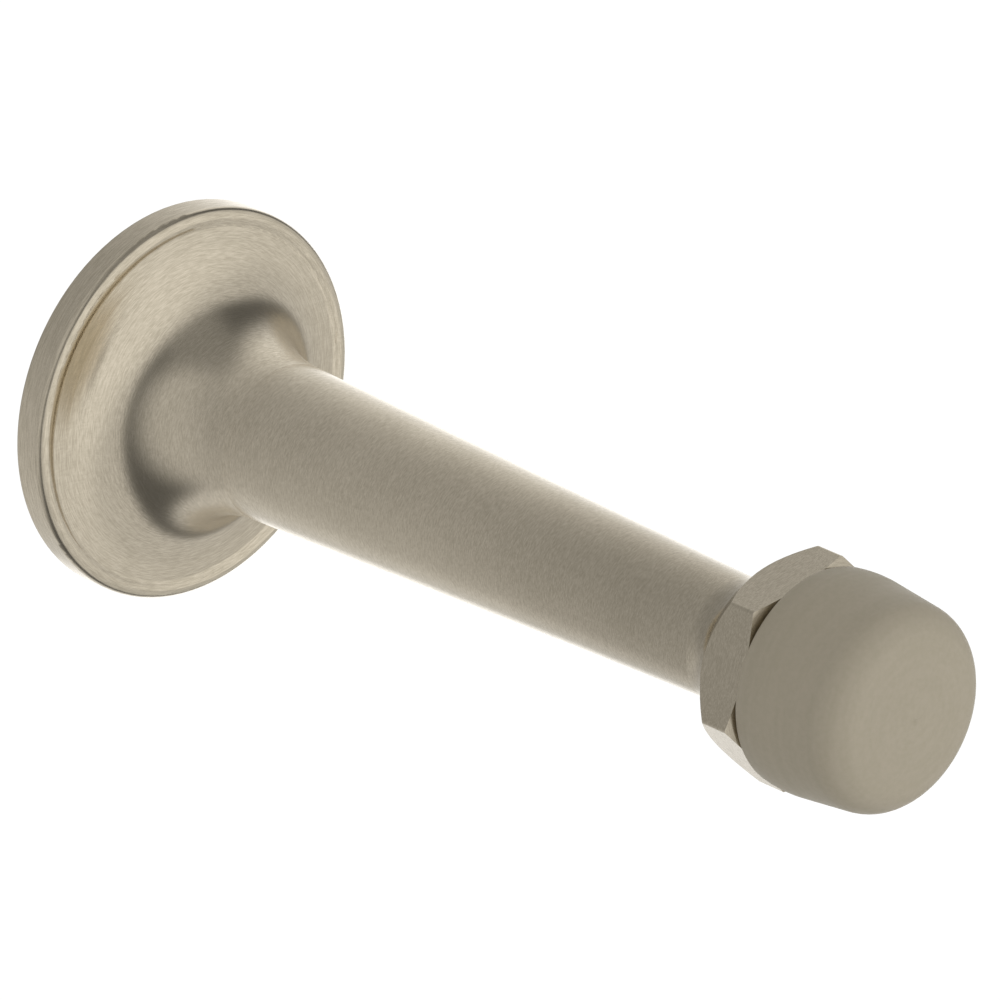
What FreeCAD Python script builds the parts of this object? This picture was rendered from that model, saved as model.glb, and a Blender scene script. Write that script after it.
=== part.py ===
import FreeCAD, Part
import math
import os

# Rigid wall door stop: a flanged, tapered metal body with a wrench hexagon, a rubber bumper
# pushed on its spigot, and the hanger bolt that fixes it.
#
# Frame: millimetres, +Z up. The wall is the plane Y = 0 and the stem points along -Y.
# The origin is the centre of the flange's back face. A "station" is a distance out from
# the wall, so a point at station s lies at Y = -s.

# Whole stop
projection = 82.55            # wall to the face of the bumper, 3 1/4 in

# Flange, 1 1/4 in across, with a round bead along its rim
flange_radius = 15.95
flange_edge_round = 0.4       # rounded edge against the wall
rim_height = 3.1              # station of the bead's crest
bead_radius = 0.75
bead_foot_radius = 0.5        # fillet between the bead and the dish
dish_slope = 5.0              # degrees by which the dish rises towards the stem
relief_radius = 12.5          # the back is relieved so that only a ring meets the wall
relief_depth = 1.2

# Stem: a taper with a very slight waist, and the wide cove that joins it to the dish
cove_length = 10.95           # semi-axis of the cove's ellipse, along the stem
cove_reach = 7.2              # the other semi-axis, across the flange
stem_start_station = 13.3
stem_start_radius = 6.39
stem_middle_station = 35.0
stem_middle_radius = 5.64
stem_end_station = 63.3
stem_end_radius = 4.8
flare_radius = 5.2            # the stem flares out again to the back of the hexagon

# Wrench hexagon, 5/8 in across flats, chamfered on both faces like a nut
hexagon_flats = 15.9
hexagon_back = 67.8
hexagon_front = 72.3
hexagon_phase = 42.0          # degrees of the first corner from +Z, turning towards -X
hexagon_corner_round = 0.3
corner_reach = 9.3            # a radius just past the corners, where both chamfers end
back_face_radius = 7.7        # radius of the round back face that the chamfer leaves
back_chamfer_length = 1.75    # axial length of the chamfer out to the corner reach
front_face_radius = 7.8
front_chamfer_length = 0.6

# Spigot inside the bumper, with two grooves that the rubber grips
spigot_radius = 4.6
spigot_end = 78.6
spigot_end_round = 0.8
grip_groove_stations = (74.2, 76.4)
grip_groove_width = 0.8
grip_groove_depth = 0.3

# Rubber bumper: a barrelled back end, a straight taper, a round shoulder, a domed face
bumper_back_radius = 8.57
bumper_back_round = 0.35
barrel_end_station = 75.2     # the straight taper starts here
side_taper = 6.0              # degrees
shoulder_radius = 2.7
shoulder_centre_radius = 5.48
dome_radius = 41.5
socket_clearance = 0.05
socket_end_gap = 0.4

# Hanger bolt, no. 8 by 1 in: machine thread in the body, plain shank, wood thread in the wall
bolt_crest_radius = 2.08      # of both threads and of the shank
machine_root_radius = 1.6
machine_pitch = 0.794         # 32 threads to the inch
machine_length = 10.2
thread_clearance = 0.05       # the hole is plain and just clears the thread
hole_depth = 12.0             # from the relieved back
hole_point_angle = 118.0
shank_length = 2.0            # beyond the wall plane
wood_root_radius = 1.5
wood_pitch = 1.69             # 15 threads to the inch
wood_length = 9.0
wood_point_length = 3.0
wood_point_radius = 0.1
thread_base_share = 0.8       # width of a thread's foot, as a share of the pitch
thread_crest_share = 0.12     # width of a thread's crest, as a share of the pitch
thread_bury = 0.15            # how far a thread's foot reaches into the core
thread_end_pitches = 0.7      # bare core at each end of a thread, in pitches

overcut = 1.0                 # how far a cutting tool reaches past the face it enters

AXIS_POINT = FreeCAD.Vector(0, 0, 0)
OUTWARD = FreeCAD.Vector(0, -1, 0)
INWARD = FreeCAD.Vector(0, 1, 0)
UP = FreeCAD.Vector(0, 0, 1)


def at(station, radius):
    """The point of the half section at this station and radius."""
    return FreeCAD.Vector(radius, -station, 0)


def facing(angle):
    """The direction in the half section this many degrees from the axis to the radius."""
    turn = math.radians(angle)
    return at(math.cos(turn), math.sin(turn))


def towards(start, end):
    """The unit vector from start to end."""
    step = end - start
    return step / step.Length


def line(start, end):
    return Part.LineSegment(start, end).toShape()


def round_arc(start, end, centre):
    """The short arc from start to end about a centre."""
    middle = centre + towards(centre, (start + end) * 0.5) * (start - centre).Length
    return Part.Arc(start, middle, end).toShape()


def turned(edges):
    """The solid that a closed half section sweeps about the stem's axis."""
    face = Part.Face(Part.Wire(edges))
    return face.revolve(AXIS_POINT, INWARD, 360)


def rod(radius, start, end):
    """A plain cylinder on the axis between two stations."""
    return Part.makeCylinder(radius, end - start, at(start, 0), OUTWARD)


def stem_edge():
    """The stem's very flat arc. Its centre lies far outside, because the stem is waisted."""
    start = at(stem_start_station, stem_start_radius)
    middle = at(stem_middle_station, stem_middle_radius)
    end = at(stem_end_station, stem_end_radius)
    return Part.Arc(start, middle, end).toShape()


def cove_turn(tilt):
    """The ellipse's parameter where the surface leans from the wall plane by tilt, in radians."""
    return math.atan(cove_reach / cove_length * math.tan(tilt))


def cove_edge():
    """The cove from the dish to the stem: an arc of an ellipse, tangent to both."""
    start = at(stem_start_station, stem_start_radius)
    normal = towards(start, stem_edge().Curve.Center)
    stem_turn = cove_turn(normal.getAngle(OUTWARD))
    dish_turn = cove_turn(math.radians(dish_slope))
    centre = start + at(cove_length * math.cos(stem_turn), cove_reach * math.sin(stem_turn))
    ellipse = Part.Ellipse(centre - at(cove_length, 0), centre - at(0, cove_reach), centre)
    return Part.ArcOfEllipse(ellipse, dish_turn, stem_turn).toShape()


def flare_points():
    """Start, end and centre of the flare: tangent to the stem, ending at the hexagon."""
    start = at(stem_end_station, stem_end_radius)
    centre = start + towards(start, stem_edge().Curve.Center) * flare_radius
    run = hexagon_back + centre.y
    end = at(hexagon_back, centre.x - math.sqrt(flare_radius ** 2 - run ** 2))
    return start, end, centre


def bead_foot(bead_centre, dish_point):
    """Start, end and centre of the fillet that is tangent to the bead and to the dish."""
    normal = facing(dish_slope)
    rise = (dish_point - bead_centre).dot(normal) + bead_foot_radius
    reach = bead_radius + bead_foot_radius
    along = math.sqrt(reach ** 2 - rise ** 2)
    centre = bead_centre + normal * rise + facing(dish_slope - 90) * along
    start = bead_centre + towards(bead_centre, centre) * bead_radius
    end = centre - normal * bead_foot_radius
    return start, end, centre


def flange_outline():
    """Edges from the wall, round the bead and across the dish to the foot of the cove."""
    dish_end = cove_edge().firstVertex().Point
    wall_edge = at(0, flange_radius - flange_edge_round)
    wall_centre = at(flange_edge_round, flange_radius - flange_edge_round)
    side_start = at(flange_edge_round, flange_radius)
    bead_centre = at(rim_height - bead_radius, flange_radius - bead_radius)
    side_end = at(rim_height - bead_radius, flange_radius)
    crest = at(rim_height, flange_radius - bead_radius)
    foot_start, foot_end, foot_centre = bead_foot(bead_centre, dish_end)
    return [
        line(at(0, relief_radius), wall_edge),
        round_arc(wall_edge, side_start, wall_centre),
        line(side_start, side_end),
        round_arc(side_end, crest, bead_centre),
        round_arc(crest, foot_start, bead_centre),
        round_arc(foot_start, foot_end, foot_centre),
        line(foot_end, dish_end),
    ]


def body_core():
    """Flange, stem, flare and the core that runs on inside the hexagon."""
    flare_start, flare_end, flare_centre = flare_points()
    core_end = at(hexagon_front, flare_end.x)
    edges = flange_outline()
    edges += [
        cove_edge(),
        stem_edge(),
        round_arc(flare_start, flare_end, flare_centre),
        line(flare_end, core_end),
        line(core_end, at(hexagon_front, 0)),
        line(at(hexagon_front, 0), at(relief_depth, 0)),
        line(at(relief_depth, 0), at(relief_depth, relief_radius)),
        line(at(relief_depth, relief_radius), at(0, relief_radius)),
    ]
    return turned(edges)


def hexagon():
    """The wrench hexagon, with rounded corners, chamfered on both faces."""
    point_radius = hexagon_flats / 2 / math.cos(math.radians(30))
    corners = []
    for index in range(6):
        angle = math.radians(hexagon_phase + 60 * index)
        x = -point_radius * math.sin(angle)
        z = point_radius * math.cos(angle)
        corners.append(FreeCAD.Vector(x, -hexagon_back, z))
    outline = Part.makePolygon(corners + corners[:1])
    prism = Part.Face(outline).extrude(OUTWARD * (hexagon_front - hexagon_back))
    sides = [edge for edge in prism.Edges if abs(edge.tangentAt(0).y) > 0.5]
    prism = prism.makeFillet(hexagon_corner_round, sides)
    outline_points = [
        at(hexagon_back, 0),
        at(hexagon_back, back_face_radius),
        at(hexagon_back + back_chamfer_length, corner_reach),
        at(hexagon_front - front_chamfer_length, corner_reach),
        at(hexagon_front, front_face_radius),
        at(hexagon_front, 0),
    ]
    next_points = outline_points[1:] + outline_points[:1]
    blank = turned([line(start, end) for start, end in zip(outline_points, next_points)])
    return prism.common(blank)


def spigot():
    """The round peg that the bumper is pushed on, with its two grip grooves."""
    end_corner = at(spigot_end - spigot_end_round, spigot_radius)
    end_face = at(spigot_end, spigot_radius - spigot_end_round)
    centre = at(spigot_end - spigot_end_round, spigot_radius - spigot_end_round)
    peg = turned([
        line(at(hexagon_front, 0), at(hexagon_front, spigot_radius)),
        line(at(hexagon_front, spigot_radius), end_corner),
        round_arc(end_corner, end_face, centre),
        line(end_face, at(spigot_end, 0)),
        line(at(spigot_end, 0), at(hexagon_front, 0)),
    ])
    for station in grip_groove_stations:
        ring = rod(spigot_radius + overcut, station, station + grip_groove_width)
        core = rod(spigot_radius - grip_groove_depth, station, station + grip_groove_width)
        peg = peg.cut(ring.cut(core))
    return peg


def bolt_hole():
    """The drilled hole for the hanger bolt, from the relieved back."""
    hole_radius = bolt_crest_radius + thread_clearance
    bottom = relief_depth + hole_depth
    point_length = hole_radius / math.tan(math.radians(hole_point_angle / 2))
    drilled = rod(hole_radius, relief_depth - overcut, bottom)
    drill_point = Part.makeCone(hole_radius, 0, point_length, at(bottom, 0), OUTWARD)
    return drilled.fuse(drill_point)


def stop_body():
    body = body_core().fuse([hexagon(), spigot()])
    return body.cut(bolt_hole()).removeSplitter()


def bumper_tip():
    """The rubber cap. Its barrel, taper, shoulder and dome run into each other smoothly."""
    back = hexagon_front
    back_edge = at(back, bumper_back_radius - bumper_back_round)
    back_centre = at(back + bumper_back_round, bumper_back_radius - bumper_back_round)
    barrel_start = at(back + bumper_back_round, bumper_back_radius)

    dome_centre = at(projection - dome_radius, 0)
    centre_reach = dome_radius - shoulder_radius
    shoulder_run = math.sqrt(centre_reach ** 2 - shoulder_centre_radius ** 2)
    shoulder_centre = dome_centre + at(shoulder_run, shoulder_centre_radius)
    dome_edge = dome_centre + towards(dome_centre, shoulder_centre) * dome_radius

    side_normal = facing(90 - side_taper)
    side_end = shoulder_centre + side_normal * shoulder_radius
    taper_run = -side_end.y - barrel_end_station
    taper_angle = math.radians(side_taper)
    barrel_end = side_end + at(-taper_run, taper_run * math.tan(taper_angle))
    chord = barrel_start - barrel_end
    barrel_radius = -chord.dot(chord) / (2 * chord.dot(side_normal))
    barrel_centre = barrel_end - side_normal * barrel_radius

    outer = turned([
        line(at(back, 0), back_edge),
        round_arc(back_edge, barrel_start, back_centre),
        round_arc(barrel_start, barrel_end, barrel_centre),
        line(barrel_end, side_end),
        round_arc(side_end, dome_edge, shoulder_centre),
        round_arc(dome_edge, at(projection, 0), dome_centre),
        line(at(projection, 0), at(back, 0)),
    ])
    socket = rod(spigot_radius + socket_clearance, back - overcut, spigot_end + socket_end_gap)
    return outer.cut(socket)


def stud(radius, start, end):
    """A plain cylinder along +Z, for the bolt before it is laid down."""
    return Part.makeCylinder(radius, end - start, FreeCAD.Vector(0, 0, start), UP)


def threaded_rod(root_radius, pitch, start, end):
    """A core along +Z with a helical ridge, whose foot is buried in the core."""
    bare_end = thread_end_pitches * pitch
    helix = Part.makeHelix(pitch, end - start - 2 * bare_end, root_radius)
    foot = pitch * thread_base_share / 2
    crest = pitch * thread_crest_share / 2
    section = [
        FreeCAD.Vector(root_radius - thread_bury, 0, -foot),
        FreeCAD.Vector(bolt_crest_radius, 0, -crest),
        FreeCAD.Vector(bolt_crest_radius, 0, crest),
        FreeCAD.Vector(root_radius - thread_bury, 0, foot),
    ]
    profile = Part.makePolygon(section + section[:1])
    ridge = Part.Wire(helix.Edges).makePipeShell([profile], True, True)
    ridge.translate(UP * (start + bare_end))
    return stud(root_radius, start, end).fuse(ridge)


def hanger_bolt():
    """The bolt is built along +Z, its tip in the wall upwards, then laid along +Y."""
    wood_start = shank_length
    wood_end = wood_start + wood_length
    machine_end = -relief_depth - machine_length
    machine = threaded_rod(machine_root_radius, machine_pitch, machine_end, -relief_depth)
    shank = stud(bolt_crest_radius, -relief_depth, wood_start)
    wood = threaded_rod(wood_root_radius, wood_pitch, wood_start, wood_end)
    point = Part.makeCone(
        wood_root_radius, wood_point_radius, wood_point_length, UP * wood_end, UP
    )
    bolt = machine.fuse([shank, wood, point]).removeSplitter()
    bolt.rotate(AXIS_POINT, FreeCAD.Vector(1, 0, 0), -90)
    return bolt


def write(name, shape):
    solids = shape.Solids
    if len(solids) != 1 or not solids[0].isValid():
        raise ValueError(name + " is not one valid solid")
    solids[0].exportStep("parts/" + name + ".step")
    print(name, round(solids[0].Volume, 2), "mm3", len(solids[0].Faces), "faces")


os.makedirs("parts", exist_ok=True)
write("hanger_bolt", hanger_bolt())
write("stop_body", stop_body())
write("bumper_tip", bumper_tip())
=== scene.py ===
import math

import bpy
from mathutils import Matrix, Vector


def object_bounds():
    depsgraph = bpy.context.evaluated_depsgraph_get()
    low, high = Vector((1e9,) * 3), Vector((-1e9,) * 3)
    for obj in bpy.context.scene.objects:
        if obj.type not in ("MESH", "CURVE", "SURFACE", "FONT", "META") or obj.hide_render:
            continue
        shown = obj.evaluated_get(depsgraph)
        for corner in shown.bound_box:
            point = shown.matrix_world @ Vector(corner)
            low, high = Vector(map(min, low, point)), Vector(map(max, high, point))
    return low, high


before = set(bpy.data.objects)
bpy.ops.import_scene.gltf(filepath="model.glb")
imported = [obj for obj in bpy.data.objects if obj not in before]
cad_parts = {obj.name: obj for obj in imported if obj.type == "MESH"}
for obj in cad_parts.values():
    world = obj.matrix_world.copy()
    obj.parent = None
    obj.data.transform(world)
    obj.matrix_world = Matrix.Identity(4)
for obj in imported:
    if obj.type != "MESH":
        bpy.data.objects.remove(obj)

cad_low, cad_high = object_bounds()

# Lengths are in metres. The stem points along -Y from the wall, and the origin is the centre of
# the flange's back face. Azimuths are in degrees from +Y towards +X, elevations in degrees up.
MM = 0.001

# Camera: a long lens, held level, looking down along the stem from its bumper end
VIEW_AZIMUTH = 42.74
VIEW_ELEVATION = -23.605
LENS_MM = 368.2
SENSOR_MM = 36.0
WALL_DEPTH = 800.0 * MM                  # from the camera to the origin, along the view
AIM_RIGHT = 25.74 * MM                   # the picture's centre, to the right of the origin
AIM_DOWN = 8.31 * MM                     # and below it
CLIP_START = 0.01
CLIP_END = 20.0

# Studio
FLOOR_BELOW = 0.30                       # how far the floor lies under the stop's lowest point
FLOOR_HALF = 3.0
BACKDROP_WHITE = 1.05                    # what the camera sees of the backdrop and the floor
GAP_LIGHT = 0.13                         # radiance of the dark gap between the front and the backdrop

# Zones of the studio, each a soft round patch of the surroundings laid over the ones before:
# azimuth and elevation of its middle, its radiance, and how many degrees from the middle it
# is full and where it ends
ZONES = (
    ("backdrop", -46, 12, 0.63, 52, 82),
    ("backdrop_lamp", 9, 10, 1.9, 36, 67),
    ("table_behind", 20, -40, 0.9, 22, 42),
    ("backdrop_shade", -7, 18, 0.40, 13, 81),
    ("overhead", 150, 80, 0.32, 15, 40),
    ("right_lamp", 52, -28, 1.7, 10, 33),
    ("front", 161, -8, 0.72, 67, 78),
    ("front_lamp", 172, 12, 1.0, 32, 58),
)

# Satin nickel. Colours run from their darker to their lighter shade, and roughness with them.
NICKEL = ((0.525, 0.467, 0.360), (0.675, 0.603, 0.478))
# The nickel's colour pair darkened by painted shade, standing in for the dimmer light that falls on
# the tip end
NICKEL_TIP_SHADED = ((0.420, 0.372, 0.286), (0.540, 0.482, 0.381))
TIP_SHADE_START = -28.0 * MM              # where along Y the painted shade towards the tip starts to darken the tone
TIP_SHADE_END = -62.0 * MM
NICKEL_ROUGHNESS = (0.27, 0.21)
NICKEL_ANISOTROPY = 0.55
NICKEL_RELIEF = 0.15
BRUSH_ROUND = 14.0                       # scale of the streaks round the axis, at unit radius
BRUSH_ACROSS = 12000.0                   # and across them, per metre
BRUSH_SHARE = 0.8                        # the streaks' share of the pattern, the rest is scratches
SCRATCH_SLANT = 35.0                     # degrees about the stem's axis
SCRATCH_ALONG = 900.0                    # scales of the scratches, per metre
SCRATCH_ACROSS = 6500.0
DRIFT_SCALE = 160.0
DRIFT_SHARE = 0.15                       # the share of slow drifts in the shade

# Rubber
RUBBER = ((0.445, 0.395, 0.295), (0.475, 0.420, 0.320))
RUBBER_ROUGHNESS = (0.62, 0.54)
RUBBER_SPECULAR = 0.35
RUBBER_RELIEF = 0.25
GRAIN_SCALE = 2500.0
RING_ROUND = 1.0
RING_ACROSS = 1600.0

# Zinc
ZINC = ((0.50, 0.51, 0.54), (0.62, 0.63, 0.65))
ZINC_ROUGHNESS = (0.22, 0.34)
ZINC_CLOUD_SCALE = 900.0

RELIEF_DEPTH = 0.02 * MM

# Noise keeps near its middle. These are the levels that a pair of values is spread between.
NARROW = (0.38, 0.62)
MEDIUM = (0.35, 0.65)
WIDE = (0.30, 0.70)


class Graph:
    """Short ways to add and join nodes in one node tree."""

    def __init__(self, tree):
        self.tree = tree

    def node(self, kind, **settings):
        """A new node with these properties."""
        made = self.tree.nodes.new(kind)
        for key, value in settings.items():
            setattr(made, key, value)
        return made

    def join(self, source, target):
        """Give a socket a number, a colour or the output of another node."""
        if isinstance(source, (int, float)):
            target.default_value = source
        elif isinstance(source, tuple):
            target.default_value = (*source, 1)
        else:
            self.tree.links.new(source, target)

    def object_point(self):
        """The place on the piece, in its own coordinates."""
        return self.node("ShaderNodeTexCoord").outputs["Object"]

    def split(self, vector):
        """The X, Y and Z of a vector."""
        made = self.node("ShaderNodeSeparateXYZ")
        self.join(vector, made.inputs[0])
        return made.outputs

    def math(self, operation, *values):
        """One step of arithmetic."""
        made = self.node("ShaderNodeMath", operation=operation)
        for value, socket in zip(values, made.inputs):
            self.join(value, socket)
        return made.outputs[0]

    def sum(self, *shares):
        """The sum of values, each times its weight."""
        total = 0.0
        for value, weight in shares:
            total = self.math("ADD", self.math("MULTIPLY", value, weight), total)
        return total

    def map(self, value, span, to_low, to_high, smooth=False):
        """A value that runs over the span, made to run from to_low to to_high."""
        made = self.node("ShaderNodeMapRange", interpolation_type="SMOOTHSTEP" if smooth else "LINEAR")
        names = ("Value", "From Min", "From Max", "To Min", "To Max")
        for name, number in zip(names, (value, *span, to_low, to_high)):
            self.join(number, made.inputs[name])
        return made.outputs["Result"]

    def blend(self, share, first, second):
        """Mix two numbers."""
        made = self.node("ShaderNodeMix", data_type="FLOAT")
        self.join(share, made.inputs[0])
        self.join(first, made.inputs[2])
        self.join(second, made.inputs[3])
        return made.outputs[0]

    def tint(self, share, first, second):
        """Mix two colours."""
        made = self.node("ShaderNodeMix", data_type="RGBA")
        self.join(share, made.inputs[0])
        self.join(first, made.inputs[6])
        self.join(second, made.inputs[7])
        return made.outputs[2]


# ---------------------------------------------------------------- studio

def direction(azimuth, elevation):
    """Unit vector with this azimuth and elevation."""
    turn = math.radians(azimuth)
    lift = math.radians(elevation)
    level = math.cos(lift)
    return Vector((math.sin(turn) * level, math.cos(turn) * level, math.sin(lift)))


def make_camera():
    forward = direction(VIEW_AZIMUTH, VIEW_ELEVATION)
    right = forward.cross(Vector((0, 0, 1))).normalized()
    up = right.cross(forward)
    data = bpy.data.cameras.new("camera")
    data.sensor_width = SENSOR_MM
    data.lens = LENS_MM
    data.clip_start = CLIP_START
    data.clip_end = CLIP_END
    camera = bpy.data.objects.new("camera", data)
    camera.matrix_world = Matrix((
        (right.x, up.x, -forward.x, 0),
        (right.y, up.y, -forward.y, 0),
        (right.z, up.z, -forward.z, 0),
        (0, 0, 0, 1),
    ))
    camera.location = right * AIM_RIGHT - up * AIM_DOWN - forward * WALL_DEPTH
    bpy.context.scene.collection.objects.link(camera)
    bpy.context.scene.camera = camera


def make_floor():
    """A plain floor that only the camera sees, so that it doesn't dim the light from below."""
    mesh = bpy.data.meshes.new("floor")
    half = FLOOR_HALF
    corners = [(-half, -half, 0), (half, -half, 0), (half, half, 0), (-half, half, 0)]
    mesh.from_pydata(corners, [], [(0, 1, 2, 3)])
    floor = bpy.data.objects.new("floor", mesh)
    floor.location.z = cad_low.z - FLOOR_BELOW
    floor.visible_diffuse = False
    floor.visible_glossy = False
    floor.visible_shadow = False
    bpy.context.scene.collection.objects.link(floor)
    material, _, shader = new_material("floor_white")
    shader.inputs["Base Color"].default_value = (0, 0, 0, 1)
    shader.inputs["Specular IOR Level"].default_value = 0
    shader.inputs["Emission Color"].default_value = (1, 1, 1, 1)
    shader.inputs["Emission Strength"].default_value = BACKDROP_WHITE
    floor.data.materials.append(material)


def make_world():
    """Soft light in zones all round. The camera sees plain white."""
    world = bpy.data.worlds.new("studio")
    bpy.context.scene.world = world
    world.use_nodes = True
    graph = Graph(world.node_tree)
    ray = graph.node("ShaderNodeTexCoord").outputs["Generated"]
    light = GAP_LIGHT
    for name, azimuth, elevation, radiance, full, end in ZONES:
        nearness = graph.node("ShaderNodeVectorMath", operation="DOT_PRODUCT", label=name)
        graph.join(ray, nearness.inputs[0])
        nearness.inputs[1].default_value = direction(azimuth, elevation)
        span = (math.cos(math.radians(end)), math.cos(math.radians(full)))
        share = graph.map(nearness.outputs["Value"], span, 0, 1, smooth=True)
        light = graph.blend(share, light, radiance)
    path = graph.node("ShaderNodeLightPath")
    strength = graph.blend(path.outputs["Is Camera Ray"], light, BACKDROP_WHITE)
    background = world.node_tree.nodes["Background"]
    background.inputs["Color"].default_value = (1, 1, 1, 1)
    graph.join(strength, background.inputs["Strength"])


# ---------------------------------------------------------------- materials

def new_material(name):
    """A material, a Graph on its node tree, and its shader."""
    material = bpy.data.materials.new(name)
    material.use_nodes = True
    return material, Graph(material.node_tree), material.node_tree.nodes["Principled BSDF"]


def turned_streaks(graph, round_scale, across):
    """Noise drawn out round the stem's axis. across is its scale per metre over the streaks."""
    x, y, z = graph.split(graph.object_point())
    square = graph.sum((x, x), (z, z))
    radius = graph.math("MAXIMUM", graph.math("SQRT", square), 0.1 * MM)
    place = graph.node("ShaderNodeCombineXYZ")
    graph.join(graph.math("MULTIPLY", graph.math("DIVIDE", x, radius), round_scale), place.inputs[0])
    graph.join(graph.math("MULTIPLY", y, across), place.inputs[1])
    graph.join(graph.math("MULTIPLY", graph.math("DIVIDE", z, radius), round_scale), place.inputs[2])
    noise = graph.node("ShaderNodeTexNoise", noise_dimensions="4D")
    graph.join(place.outputs[0], noise.inputs["Vector"])
    graph.join(graph.math("MULTIPLY", radius, across), noise.inputs["W"])
    noise.inputs["Scale"].default_value = 1.0
    noise.inputs["Detail"].default_value = 2.0
    return noise.outputs[0]


def straight_streaks(graph, slant, along, across):
    """Noise drawn out in one direction across the flange, slanted about the stem's axis."""
    mapping = graph.node("ShaderNodeMapping")
    graph.join(graph.object_point(), mapping.inputs["Vector"])
    mapping.inputs["Rotation"].default_value = (0, math.radians(slant), 0)
    mapping.inputs["Scale"].default_value = (along, across, across)
    noise = graph.node("ShaderNodeTexNoise")
    graph.join(mapping.outputs[0], noise.inputs["Vector"])
    noise.inputs["Scale"].default_value = 1.0
    noise.inputs["Detail"].default_value = 1.0
    return noise.outputs[0]


def cloud(graph, scale, detail):
    """Plain noise with this scale per metre."""
    noise = graph.node("ShaderNodeTexNoise")
    graph.join(graph.object_point(), noise.inputs["Vector"])
    noise.inputs["Scale"].default_value = scale
    noise.inputs["Detail"].default_value = detail
    return noise.outputs[0]


def relief(graph, shader, height, strength):
    """Fine relief from a height pattern."""
    bump = graph.node("ShaderNodeBump")
    bump.inputs["Strength"].default_value = strength
    bump.inputs["Distance"].default_value = RELIEF_DEPTH
    graph.join(height, bump.inputs["Height"])
    graph.join(bump.outputs[0], shader.inputs["Normal"])


def nickel_material():
    """Satin nickel, brushed round the axis, crossed by faint scratches, with painted shade darkening
    it towards the tip.
    """
    material, graph, shader = new_material("satin_nickel_brushed")
    brushing = turned_streaks(graph, BRUSH_ROUND, BRUSH_ACROSS)
    scratches = straight_streaks(graph, SCRATCH_SLANT, SCRATCH_ALONG, SCRATCH_ACROSS)
    drift = cloud(graph, DRIFT_SCALE, 2.0)
    streaks = graph.sum((brushing, BRUSH_SHARE), (scratches, 1 - BRUSH_SHARE))
    shade = graph.sum((streaks, 1 - DRIFT_SHARE), (drift, DRIFT_SHARE))
    level = graph.map(shade, NARROW, 0, 1)
    # Painted shade: the colour darkens from the flange towards the tip, standing in for the dimmer
    # light there
    along = graph.split(graph.object_point())["Y"]
    tip_shade = graph.map(along, (TIP_SHADE_START, TIP_SHADE_END), 0, 1, smooth=True)
    colour = graph.tint(tip_shade, graph.tint(level, *NICKEL), graph.tint(level, *NICKEL_TIP_SHADED))
    graph.join(colour, shader.inputs["Base Color"])
    graph.join(graph.map(shade, MEDIUM, *NICKEL_ROUGHNESS), shader.inputs["Roughness"])
    shader.inputs["Metallic"].default_value = 1.0
    shader.inputs["Anisotropic"].default_value = NICKEL_ANISOTROPY
    tangent = graph.node("ShaderNodeTangent", direction_type="RADIAL", axis="Y")
    graph.join(tangent.outputs[0], shader.inputs["Tangent"])
    relief(graph, shader, streaks, NICKEL_RELIEF)
    return material


def rubber_material():
    """Matt rubber with a fine grain, faintly ringed by the mould round the stop's axis."""
    material, graph, shader = new_material("bumper_rubber_moulded")
    grain = cloud(graph, GRAIN_SCALE, 3.0)
    rings = turned_streaks(graph, RING_ROUND, RING_ACROSS)
    shade = graph.sum((grain, 0.5), (rings, 0.5))
    graph.join(graph.tint(graph.map(shade, NARROW, 0, 1), *RUBBER), shader.inputs["Base Color"])
    graph.join(graph.map(shade, MEDIUM, *RUBBER_ROUGHNESS), shader.inputs["Roughness"])
    shader.inputs["Specular IOR Level"].default_value = RUBBER_SPECULAR
    relief(graph, shader, shade, RUBBER_RELIEF)
    return material


def zinc_material():
    """Bright zinc plating, slightly clouded."""
    material, graph, shader = new_material("bright_zinc")
    shade = cloud(graph, ZINC_CLOUD_SCALE, 2.0)
    graph.join(graph.tint(graph.map(shade, MEDIUM, 0, 1), *ZINC), shader.inputs["Base Color"])
    graph.join(graph.map(shade, WIDE, *ZINC_ROUGHNESS), shader.inputs["Roughness"])
    shader.inputs["Metallic"].default_value = 1.0
    return material


def give(name, material):
    """Show a CAD node in this material alone."""
    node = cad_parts[name]
    node.data.materials.clear()
    node.data.materials.append(material)


bpy.context.scene.view_settings.view_transform = "Standard"
make_camera()
make_floor()
make_world()
give("stop_body", nickel_material())
give("bumper_tip", rubber_material())
give("hanger_bolt", zinc_material())
